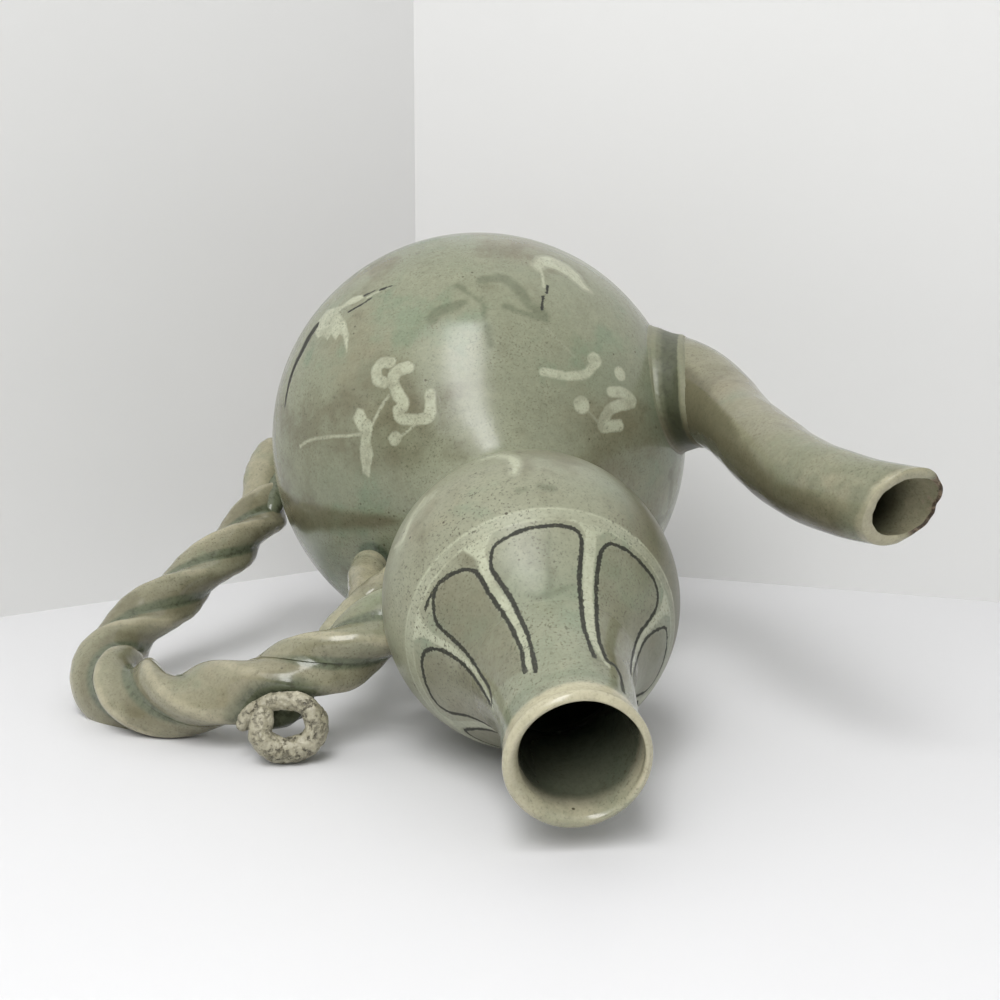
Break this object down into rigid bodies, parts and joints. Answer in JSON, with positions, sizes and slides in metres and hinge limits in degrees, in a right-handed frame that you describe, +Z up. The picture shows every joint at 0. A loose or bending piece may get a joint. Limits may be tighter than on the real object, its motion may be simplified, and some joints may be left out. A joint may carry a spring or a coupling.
{
  "type": "ewer",
  "caption": "Double-gourd celadon ewer with a curved spout, a twisted rope handle carrying a tie loop, and an open mouth with a plain lip.",
  "frame": {"origin": "centre of the flat face that the ewer stands on", "axes": "+Z up along the axis of the pot towards the mouth, +X towards the spout, the handle on -X, +Y completing a right-handed frame"},
  "size_m": [0.2391, 0.1388, 0.263],
  "materials": {
    "glaze_lower": "glossy grey-green celadon glaze with fine crazing over white and black inlay",
    "glaze_upper": "glossy grey-green celadon glaze with inlaid petals",
    "glaze_neck": "celadon glaze, thin and cream on the lip",
    "glaze_spout": "glossy celadon glaze, chipped body showing at the tip",
    "glaze_handle": "celadon glaze, pale on the ridges and pooled green in the grooves",
    "rough_loop": "thin speckled glaze, rough",
    "bare_clay": "unglazed fired clay"
  },
  "bodies": {
    "root": {"foot_disc": "bare_clay", "lower_bulb": "glaze_lower", "upper_bulb": "glaze_upper", "neck_and_lip": "glaze_neck", "spout_tube": "glaze_spout", "spout_collar": "glaze_spout", "handle_strand_a": "glaze_handle", "handle_strand_b": "glaze_handle", "handle_strand_c": "glaze_handle", "tie_loop": "rough_loop"}
  },
  "joints": []
}
